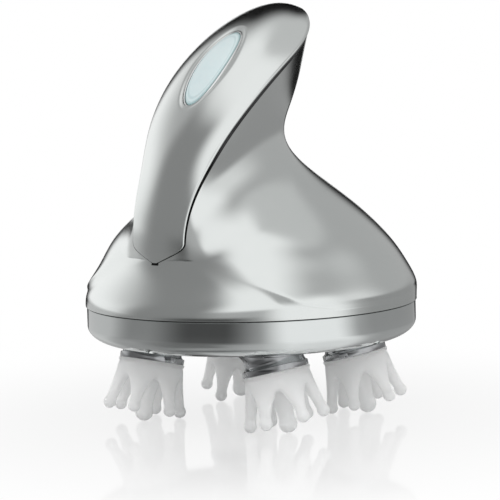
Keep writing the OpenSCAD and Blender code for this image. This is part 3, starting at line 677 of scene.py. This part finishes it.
def build_brush():
    """The silicone brush in its own frame: a short cup and seven fingers, made
    one skin by a voxel remesh and softened where they meet."""
    cup = [(0, -CUP_H + 0.1), (8.6, -CUP_H + 0.1), (FLANGE_R + 0.1, -CUP_H + 0.9),
           (FLANGE_R, -3), (FLANGE_R - 0.1, -0.9), (FLANGE_R + 0.45, -0.5),
           (FLANGE_R + 0.5, -0.25), (FLANGE_R + 0.1, 0), (5.96, 0.02),
           (5.96, 1.2), (3.8, 1.2), (3.8, -0.8), (0, -0.8)]
    parts = [turned_solid("cup", cup, 96)]
    pts, *faces = build_finger(8.15, TIP_RING_R, -2.6, -FINGER_L, 6.4, 2.5, 1.7, TIP_R)
    for i in range(6):
        turn = math.radians(60 * i + 30)
        c, s = math.cos(turn), math.sin(turn)
        around = np.array([[c, s, 0], [-s, c, 0], [0, 0, 1]])
        parts.append(make_mesh("finger_%d" % i, pts @ around, *faces))
    pts, *faces = build_finger(0, 0, -4, -MID_L, 4.4, 4.4, 2.5, MID_TIP_R)
    parts.append(make_mesh("finger_mid", pts, *faces))
    brush = merge("brush_form", *parts)
    m = brush.modifiers.new("skin", "REMESH")
    m.mode, m.voxel_size = "VOXEL", 0.36 * MM
    m = brush.modifiers.new("soften", "SMOOTH")
    m.factor, m.iterations = 0.5, 12
    return settle(brush)


def place_brush(form, key):
    """A copy of the brush on the seat of one head's carrier."""
    obj = new_object("silicone_brush_" + key, form.data.copy())
    seat = Matrix.Translation((0, 0, -SEAT_D * MM))
    obj.data.transform(head_matrix(key) @ leaning() @ seat)
    return obj


# ---------------------------------------------------------------- shader groups
def new_group(name, inputs, outputs):
    """An empty node group with these sockets, and its in and out nodes."""
    g = bpy.data.node_groups.new(name, "ShaderNodeTree")
    for label, kind, value in inputs:
        s = g.interface.new_socket(label, in_out="INPUT", socket_type="NodeSocket" + kind)
        if value is not None:
            s.default_value = value
    for label, kind in outputs:
        g.interface.new_socket(label, in_out="OUTPUT", socket_type="NodeSocket" + kind)
    return g, g.nodes.new("NodeGroupInput"), g.nodes.new("NodeGroupOutput")


def feed(tree, socket, value):
    """A plain value, or another node's output, into the socket."""
    if hasattr(value, "is_linked"):
        tree.links.new(value, socket)
    else:
        socket.default_value = value


def node(tree, kind, inputs, **settings):
    """A new node with its settings, and its inputs by name or number fed."""
    n = tree.nodes.new("ShaderNode" + kind)
    for key, value in settings.items():
        setattr(n, key, value)
    for socket, value in inputs.items():
        feed(tree, n.inputs[socket], value)
    return n


def noise(tree, vector, scale, detail=3.0, rough=0.5):
    """Value of a noise texture at the vector."""
    return node(tree, "TexNoise", {"Vector": vector, "Scale": scale, "Detail": detail,
                                   "Roughness": rough}).outputs["Fac"]


def span_of(tree, value, low, high, out_low, out_high):
    """The value carried from one range to another, with smooth ends."""
    return node(tree, "MapRange", {"Value": value, "From Min": low, "From Max": high,
                                   "To Min": out_low, "To Max": out_high},
                interpolation_type="SMOOTHSTEP").outputs["Result"]


def calc(tree, kind, *values):
    """Result of one step of arithmetic."""
    return node(tree, "Math", dict(enumerate(values)), operation=kind).outputs[0]


def mix_colour(tree, fac, a, b):
    """The colour a, with b laid over it by the share fac."""
    return node(tree, "Mix", {0: fac, 6: a, 7: b}, data_type="RGBA").outputs[2]


def tint_group():
    """Colour that drifts slowly between two shades, with fine specks."""
    g, i, o = new_group("Tint drift", [
        ("Vector", "Vector", None), ("Colour", "Color", (1, 1, 1, 1)),
        ("Second", "Color", (1, 1, 1, 1)), ("Scale", "Float", 30.0)], [("Colour", "Color")])
    slow = noise(g, i.outputs["Vector"], i.outputs["Scale"])
    fine = noise(g, i.outputs["Vector"], calc(g, "MULTIPLY", i.outputs["Scale"], 17.0))
    both = calc(g, "ADD", calc(g, "MULTIPLY", slow, 0.75), calc(g, "MULTIPLY", fine, 0.25))
    share = span_of(g, both, 0.35, 0.65, 0.0, 1.0)
    feed(g, o.inputs["Colour"], mix_colour(g, share, i.outputs["Colour"], i.outputs["Second"]))
    return g


def handling_group():
    """Roughness that rises in soft patches where hands and cloths go."""
    g, i, o = new_group("Handling", [("Vector", "Vector", None), ("Scale", "Float", 40.0),
                                     ("Clean", "Float", 0.2), ("Handled", "Float", 0.3)],
                        [("Roughness", "Float")])
    patch = noise(g, i.outputs["Vector"], i.outputs["Scale"], 5.0, 0.62)
    g.links.new(span_of(g, patch, 0.38, 0.68, i.outputs["Clean"], i.outputs["Handled"]),
                o.inputs["Roughness"])
    return g


def grain_group():
    """Height of a surface's grain: fine noise over a coarser one."""
    g, i, o = new_group("Grain", [("Vector", "Vector", None), ("Scale", "Float", 2000.0),
                                  ("Coarse Share", "Float", 0.3)], [("Height", "Float")])
    fine = noise(g, i.outputs["Vector"], i.outputs["Scale"], 2.0)
    wide = calc(g, "MULTIPLY", i.outputs["Scale"], 0.12)
    coarse = noise(g, i.outputs["Vector"], wide, 2.0)
    coarse = calc(g, "MULTIPLY", coarse, i.outputs["Coarse Share"])
    g.links.new(calc(g, "ADD", fine, coarse), o.inputs["Height"])
    return g


def machining_group():
    """Height of turning or grinding marks: noise drawn out across one axis."""
    g, i, o = new_group("Machining", [
        ("Vector", "Vector", None), ("Stretch", "Vector", (1, 1, 30)),
        ("Scale", "Float", 900.0)], [("Height", "Float")])
    drawn = node(g, "VectorMath", {0: i.outputs["Vector"], 1: i.outputs["Stretch"]},
                 operation="MULTIPLY").outputs[0]
    g.links.new(noise(g, drawn, i.outputs["Scale"], 2.0), o.inputs["Height"])
    return g


TINT, HANDLING = tint_group(), handling_group()
GRAIN, MACHINING = grain_group(), machining_group()


def use(tree, group, **values):
    """First output of the group, fed with these values."""
    n = node(tree, "Group", {}, node_tree=group)
    for key, value in values.items():
        feed(tree, n.inputs[key.replace("_", " ")], value)
    return n.outputs[0]


def rgb(r, g, b):
    """A solid colour."""
    return (r, g, b, 1.0)


def finish(name, colour, second, rough, tint_scale=30.0, handling=45.0, grain=2000.0,
           coarse=0.3, bump=0.004, machined=None, **shader):
    """A material: drifting tint, handled roughness and grain or machining
    marks in the normal. What is even all over sits on the shader itself."""
    mat = bpy.data.materials.new(name)
    mat.use_nodes = True
    t = mat.node_tree
    bsdf = t.nodes["Principled BSDF"]
    at = node(t, "TexCoord", {}).outputs["Object"]
    tint = use(t, TINT, Vector=at, Colour=rgb(*colour), Second=rgb(*second), Scale=tint_scale)
    t.links.new(tint, bsdf.inputs["Base Color"])
    wear = use(t, HANDLING, Vector=at, Scale=handling, Clean=rough[0], Handled=rough[1])
    t.links.new(wear, bsdf.inputs["Roughness"])
    if machined:
        relief = use(t, MACHINING, Vector=at, Stretch=machined, Scale=grain)
    else:
        relief = use(t, GRAIN, Vector=at, Scale=grain, Coarse_Share=coarse)
    raised = node(t, "Bump", {"Strength": 1.0, "Distance": bump * MM, "Height": relief})
    t.links.new(raised.outputs[0], bsdf.inputs["Normal"])
    for key, value in shader.items():
        bsdf.inputs[key.replace("_", " ")].default_value = value
    return mat


def lens_material():
    """Frosted resin of the button: pale blue, clearer inside and darker in a
    thin printed line, and with painted shade at its rim, by the oval distance from its centre."""
    mat = finish("Frosted lens", (0.56, 0.66, 0.68), (0.60, 0.69, 0.70), (0.16, 0.24),
                 grain=3500.0, bump=0.002, Metallic=0.0, IOR=1.5,
                 Subsurface_Weight=0.35, Subsurface_Radius=(0.003, 0.004, 0.004),
                 Coat_Weight=0.4, Coat_Roughness=0.08)
    t = mat.node_tree
    bsdf = t.nodes["Principled BSDF"]
    tint = bsdf.inputs["Base Color"].links[0].from_socket
    at = node(t, "TexCoord", {}).outputs["Object"]
    centred = node(t, "Mapping", {"Location": (0, BUTTON_AT[0] * MM, BUTTON_AT[1] * MM),
                                  "Rotation": (math.radians(BUTTON_TILT), 0, 0),
                                  "Vector": at}, vector_type="TEXTURE").outputs[0]
    split = node(t, "SeparateXYZ", {0: centred})
    x = calc(t, "POWER", calc(t, "DIVIDE", split.outputs[0], BUTTON_A * MM), 2.0)
    y = calc(t, "POWER", calc(t, "DIVIDE", split.outputs[1], BUTTON_B * MM), 2.0)
    far = calc(t, "SQRT", calc(t, "ADD", x, y))
    line = calc(t, "MULTIPLY", span_of(t, far, 0.80, 0.84, 0, 1),
                span_of(t, far, 0.86, 0.90, 1, 0))
    # painted shade: the lens goes fully dark over its outer tenth, where it rounds into the gap
    # to the bezel
    rim = span_of(t, far, 0.90, 1.0, 0, 1)
    # the printed line and the painted rim shade together, as the share of the darker blue
    dark = calc(t, "ADD", calc(t, "MULTIPLY", line, 0.35), rim)
    dark = calc(t, "MINIMUM", dark, 1.0)
    feed(t, bsdf.inputs["Base Color"], mix_colour(t, dark, tint, rgb(0.34, 0.47, 0.48)))
    return mat


SILVER = finish("Satin silver", (0.75, 0.775, 0.765), (0.73, 0.76, 0.75), (0.15, 0.18),
                tint_scale=14, handling=30, grain=3200, bump=0.0006, Metallic=1.0)
BRIGHT = finish("Bright silver", (0.73, 0.755, 0.75), (0.70, 0.73, 0.725), (0.045, 0.07),
                tint_scale=16, handling=35, grain=3600, bump=0.0004, Metallic=1.0)
RIM = finish("Polished rim", (0.84, 0.85, 0.85), (0.78, 0.79, 0.79), (0.07, 0.12),
             handling=120, grain=5000, bump=0.0004, Metallic=1.0)
PLATED = finish("Dark chrome", (0.44, 0.45, 0.46), (0.36, 0.37, 0.38), (0.05, 0.09),
                tint_scale=60, handling=120, grain=4000, bump=0.0006, Metallic=1.0)
# clear silicone with a painted glow: a faint white emission brightens it
SILICONE = finish("Clear silicone", (0.94, 0.945, 0.94), (0.90, 0.91, 0.91), (0.38, 0.50),
                  tint_scale=70, handling=110, grain=1600, bump=0.004, IOR=1.41,
                  Subsurface_Weight=0.75, Subsurface_Radius=(0.006, 0.006, 0.006),
                  Subsurface_Scale=1.5, Transmission_Weight=0.38,
                  Emission_Color=rgb(1, 1, 1), Emission_Strength=0.06)  # painted glow: the silicone gives off a faint white light of its own, standing in for light soaking through
LENS = lens_material()
# black of the real seals, also used as painted shade in the bed round the front cover
SEAL_BLACK_AND_GAP_SHADE = finish("Black seal and painted gap shade", (0.010, 0.010, 0.011), (0.022, 0.022, 0.023), (0.5, 0.7),
                tint_scale=120, grain=1800, bump=0.01)
MOULDED = finish("Moulded white", (0.80, 0.79, 0.74), (0.74, 0.73, 0.68), (0.4, 0.55),
                 tint_scale=50, grain=900, bump=0.012)
GREASED = finish("Greased gear", (0.83, 0.79, 0.66), (0.72, 0.66, 0.50), (0.18, 0.42),
                 tint_scale=110, handling=160, grain=1100, bump=0.006,
                 Coat_Weight=0.3, Coat_Roughness=0.2)
GROUND = finish("Ground steel", (0.60, 0.61, 0.62), (0.50, 0.51, 0.52), (0.18, 0.32),
                tint_scale=150, grain=1400, bump=0.002, machined=(1, 1, 14), Metallic=1.0)
BRONZE = finish("Sintered bronze", (0.48, 0.28, 0.13), (0.36, 0.21, 0.10), (0.35, 0.5),
                tint_scale=200, grain=2600, coarse=0.8, bump=0.012, Metallic=1.0)
BRASS = finish("Cut brass", (0.78, 0.56, 0.24), (0.66, 0.46, 0.18), (0.16, 0.3),
               tint_scale=150, grain=1600, bump=0.002, machined=(1, 1, 10), Metallic=1.0)
GOLD = finish("Gold contact", (0.90, 0.66, 0.26), (0.80, 0.56, 0.20), (0.14, 0.28),
              tint_scale=200, grain=2400, bump=0.002, Metallic=1.0)
CAN = finish("Zinc can", (0.62, 0.63, 0.62), (0.50, 0.52, 0.52), (0.22, 0.4),
             tint_scale=90, grain=1200, bump=0.002, machined=(1, 1, 8), Metallic=1.0)
LACQUER = finish("Green board", (0.02, 0.16, 0.07), (0.05, 0.27, 0.12), (0.18, 0.3),
                 tint_scale=420, grain=700, bump=0.02, Coat_Weight=0.3)
CHIP = finish("Chip black", (0.014, 0.014, 0.016), (0.035, 0.035, 0.038), (0.45, 0.6),
              tint_scale=300, grain=2600, bump=0.006)
RESIN = finish("Lamp resin", (0.90, 0.90, 0.80), (0.82, 0.80, 0.60), (0.1, 0.2),
               tint_scale=400, grain=2400, bump=0.002, Subsurface_Weight=0.3)
SLEEVE = finish("Cell sleeve", (0.03, 0.12, 0.42), (0.05, 0.18, 0.52), (0.22, 0.34),
                tint_scale=80, grain=700, bump=0.008, Coat_Weight=0.5, Coat_Roughness=0.15)

# what each CAD node is made of; those of a head end in its key
MADE_OF = [
    (SILVER, "upper_shell front_cover"), (BRIGHT, "lower_shell"), (RIM, "button_bezel"),
    (LENS, "push_button"), (SEAL_BLACK_AND_GAP_SHADE, "shell_gasket button_seal lip_seals"),
    (MOULDED, "button_housing gear_plate gearbox_cover battery_cradle"),
    (CHIP, "tact_switch board_parts"), (LACQUER, "button_board control_board"),
    (RESIN, "status_leds"), (CAN, "motor"), (BRASS, "motor_pinion"), (SLEEVE, "battery_cell"),
    (GROUND, "idler_pin motor_shaft case_screws plate_screws motor_screws"),
    (GREASED, "idler_gear sun_gear sun_wheel"), (BRONZE, "head_bushes"),
    (GOLD, "charge_contacts")]
HEAD_MADE_OF = [(GREASED, "head_gear_"), (GROUND, "head_shaft_ head_screw_"),
                (PLATED, "carrier_"), (SILICONE, "brush_")]


def stand_for(obj, body, node_name, mats, angle=35):
    """The finished piece rides on its body in place of the CAD node."""
    smooth(obj, angle)
    paint(obj, *mats)
    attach(obj, body)
    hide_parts(node_name)


# ---------------------------------------------------------------- the object
for mat, names in MADE_OF:
    for name in names.split():
        paint(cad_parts[name], mat)
for mat, starts in HEAD_MADE_OF:
    for name in [start + key for start in starts.split() for key in HEADS]:
        paint(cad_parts[name], mat)

pocket = (BEZEL_A + 0.05, BEZEL_B + 0.05, -12, 6)  # of the button, in both
casing = cut(build_casing(), oval_prism("casing_pocket", *pocket))
stand_for(casing, "casing", "upper_shell", (SILVER, SEAL_BLACK_AND_GAP_SHADE), 40)
cover = cut(build_cover(), oval_prism("cover_pocket", *pocket))
stand_for(cover, "casing", "front_cover", (SILVER,), 30)
stand_for(build_lower_casing(), "casing", "lower_shell", (BRIGHT,), 30)
stand_for(build_bezel(), "casing", "button_bezel", (RIM,), 40)
stand_for(build_lens(), "button", "push_button", (LENS,), 30)
form = build_brush()
for key in HEADS:
    head = "head_" + key
    stand_for(build_carrier(key), head, "carrier_" + key, (PLATED,), 30)
    stand_for(place_brush(form, key), head, "brush_" + key, (SILICONE,), 60)
bpy.data.objects.remove(form)


# ---------------------------------------------------------------- camera
def photo_camera():
    """The photograph's view, aimed at the middle of the joint line."""
    azimuth, elevation, roll = (
        math.radians(v) for v in (CAMERA_AZIMUTH, CAMERA_ELEVATION, CAMERA_ROLL))
    back = Vector((math.sin(azimuth) * math.cos(elevation),
                   -math.cos(azimuth) * math.cos(elevation), math.sin(elevation)))
    right = Vector((math.cos(azimuth), math.sin(azimuth), 0))
    up = back.cross(right)
    side = math.cos(roll) * right + math.sin(roll) * up
    top = -math.sin(roll) * right + math.cos(roll) * up
    data = bpy.data.cameras.new("camera")
    data.sensor_width, data.lens = 36.0, 36.0 * FOCAL / PICTURE
    data.shift_x, data.shift_y = -1.2 / PICTURE, 50 / PICTURE
    cam = new_object("camera", data)
    turn = Matrix((side, top, back)).transposed().to_4x4()
    at = Vector((0, 0, JOINT_Z * MM)) + back * CAMERA_AWAY
    cam.matrix_world = Matrix.Translation(at) @ turn
    bpy.context.scene.camera = cam


photo_camera()


# ---------------------------------------------------------------- studio
def studio_point(azimuth, elevation, distance):
    """A point seen from the object at an angle from the photo's camera,
    positive to the camera's right."""
    a, e = math.radians(CAMERA_AZIMUTH + azimuth), math.radians(elevation)
    way = Vector((math.sin(a) * math.cos(e), -math.cos(a) * math.cos(e), math.sin(e)))
    return way * distance


# Soft cards and flags that the metal mirrors, by the angle to the camera's
# right and the height in degrees: middle, half width, soft edge, lowest, soft
# edge, highest, soft edge, tone. Later ones lie over earlier ones.
CARDS = [
    (0, 181, 1, -95, 1, 52, 20, 0.47),      # pale grey room under a white ceiling
    (-130, 12, 40, -60, 1, 4, 6, 0.58),     # pale floor, left rear
    (-138, 10, 52, 5, 6, 14, 32, 1.05),     # light wall, left rear
    (4, 16, 46, 34, 12, 95, 1, 1.02),       # ceiling brought forward
    (-62, 20, 26, -45, 10, 52, 12, 0.27),   # grey wall on the left
    (60, 20, 34, 2, 10, 26, 26, 0.82),      # pale wall on the right
    (112, 26, 26, -60, 1, 0, 12, 0.33),     # grey floor on the right
    (-28, 10, 34, -30, 12, -3, 9, 0.08),    # black flag, front left
    (38, 15, 20, -60, 12, 28, 24, 1.03),    # white card, front right
    (-110, 45, 20, -95, 1, -50, 14, 0.06),  # painted shade: dark straight below on the left, where the floor lies under the object
    (15, 40, 20, -95, 1, -45, 15, 0.90),    # white floor in front
    (130, 40, 40, 60, 12, 84, 8, 0.62),     # dimmer ceiling, right rear
    (180, 14, 13, -60, 12, 42, 22, 0.00),   # black flag behind
    (180, 25, 8, -60, 12, -2, 2, 0.00),     # wider on the floor
    (180, 7, 3, -2, 2, 13, 3, 1.00)]        # with a gap low down for the backdrop


def studio_group():
    """Tone of the studio in a direction: each card is a soft-edged patch in
    angle and height, laid over those before it."""
    g, i, o = new_group("Studio", [("Direction", "Vector", None)], [("Tone", "Float")])
    split = node(g, "SeparateXYZ", {0: i.outputs[0]})
    turn = calc(g, "ARCTAN2", split.outputs[0], calc(g, "MULTIPLY", split.outputs[1], -1.0))
    height = calc(g, "ARCSINE", split.outputs[2])
    tone = 1.0
    for middle, half, soft, low, soft_low, high, soft_high, grey in CARDS:
        m, h, e, lo, sl, hi, sh = (math.radians(v) for v in (
            CAMERA_AZIMUTH + middle, half, soft, low, soft_low, high, soft_high))
        away = calc(g, "WRAP", calc(g, "SUBTRACT", turn, m), math.pi, -math.pi)
        away = calc(g, "ABSOLUTE", away)
        share = calc(g, "MULTIPLY", span_of(g, away, h, h + e, 1, 0),
                     calc(g, "MULTIPLY", span_of(g, height, lo - sl, lo, 0, 1),
                          span_of(g, height, hi, hi + sh, 1, 0)))
        # the tone so far moves towards the card's by the card's share
        step = calc(g, "MULTIPLY", share, calc(g, "SUBTRACT", grey, tone))
        tone = calc(g, "ADD", tone, step)
    g.links.new(tone, o.inputs[0])
    return g


def seen_by_gloss(tree, gloss, way):
    """Full white, but the studio's tone in that direction for glossy rays."""
    dark = calc(tree, "SUBTRACT", 1.0, use(tree, STUDIO, Direction=way))
    return calc(tree, "SUBTRACT", 1.0, calc(tree, "MULTIPLY", gloss, dark))


def softbox(name, azimuth, elevation, size, power):
    """A round soft light 1.2 m from the object that gloss does not mirror."""
    data = bpy.data.lights.new(name, "AREA")
    data.shape, data.size, data.energy = "DISK", size, power
    lamp = new_object(name, data)
    lamp.location = studio_point(azimuth, elevation, 1.2)
    lamp.rotation_mode = "QUATERNION"
    lamp.rotation_quaternion = (-lamp.location).to_track_quat("-Z", "Y")
    lamp.visible_glossy = False


def white_world():
    """A plain white world that shows the studio's cards to gloss."""
    world = bpy.data.worlds.new("studio")
    bpy.context.scene.world = world
    world.use_nodes = True
    t = world.node_tree
    t.nodes.clear()
    gloss = node(t, "LightPath", {}).outputs["Is Glossy Ray"]
    way = node(t, "TexCoord", {}).outputs["Generated"]
    sky = node(t, "Background", {"Color": rgb(1, 1, 1),
                                 "Strength": seen_by_gloss(t, gloss, way)})
    node(t, "OutputWorld", {"Surface": sky.outputs[0]})


def white_floor():
    """A polished white floor whose gloss fades away from the object. It shines
    white to the camera and to gloss, and takes light and shadow near the
    object only. Gloss sees the studio's cards in it, as from a point a little
    above the middle of the floor."""
    n = 96
    r = np.array([0, 0.03, 0.06, 0.12, 0.25, 0.5, 1.0, 2.0, 4.0]) / MM
    pts = turned([(k, 0) for k in r[1:]], n)
    pts = np.concatenate([pts, [[0, 0, 0]]])
    floor = make_mesh("floor", pts, grid_faces(len(r) - 1, n)[:, ::-1],
                      cap_faces(0, n, len(pts) - 1), closed=False)
    mat = bpy.data.materials.new("White floor")
    mat.use_nodes = True
    t = mat.node_tree
    t.nodes.clear()
    at = node(t, "TexCoord", {}).outputs["Object"]
    far = node(t, "VectorMath", {0: at}, operation="LENGTH").outputs["Value"]
    path = node(t, "LightPath", {})
    seen = calc(t, "MAXIMUM", path.outputs["Is Camera Ray"], path.outputs["Is Glossy Ray"])
    near = calc(t, "MULTIPLY", seen, span_of(t, far, 0.0, 0.3, 0.86, 1.0))
    way = node(t, "VectorMath", {0: at, 1: (0, 0, 0.03)}, operation="SUBTRACT").outputs[0]
    way = node(t, "VectorMath", {0: way}, operation="NORMALIZE").outputs[0]
    white = node(t, "Emission", {
        "Strength": seen_by_gloss(t, path.outputs["Is Glossy Ray"], way)}).outputs[0]
    matte = node(t, "BsdfDiffuse", {"Color": rgb(0.9, 0.9, 0.9)}).outputs[0]
    gloss = node(t, "BsdfGlossy", {"Roughness": 0.06}).outputs[0]
    base = node(t, "MixShader", {0: near, 1: matte, 2: white}).outputs[0]
    share = span_of(t, far, 0.05, 0.17, 0.30, 0.0)
    polish = node(t, "MixShader", {0: share, 1: base, 2: gloss}).outputs[0]
    node(t, "OutputMaterial", {"Surface": polish})
    paint(floor, mat)


STUDIO = studio_group()
white_world()
white_floor()
softbox("key_light", 28, 48, 0.9, 2.0)
softbox("fill_light", -70, 35, 0.9, 1.0)

view = bpy.context.scene.view_settings
view.view_transform = "Standard"
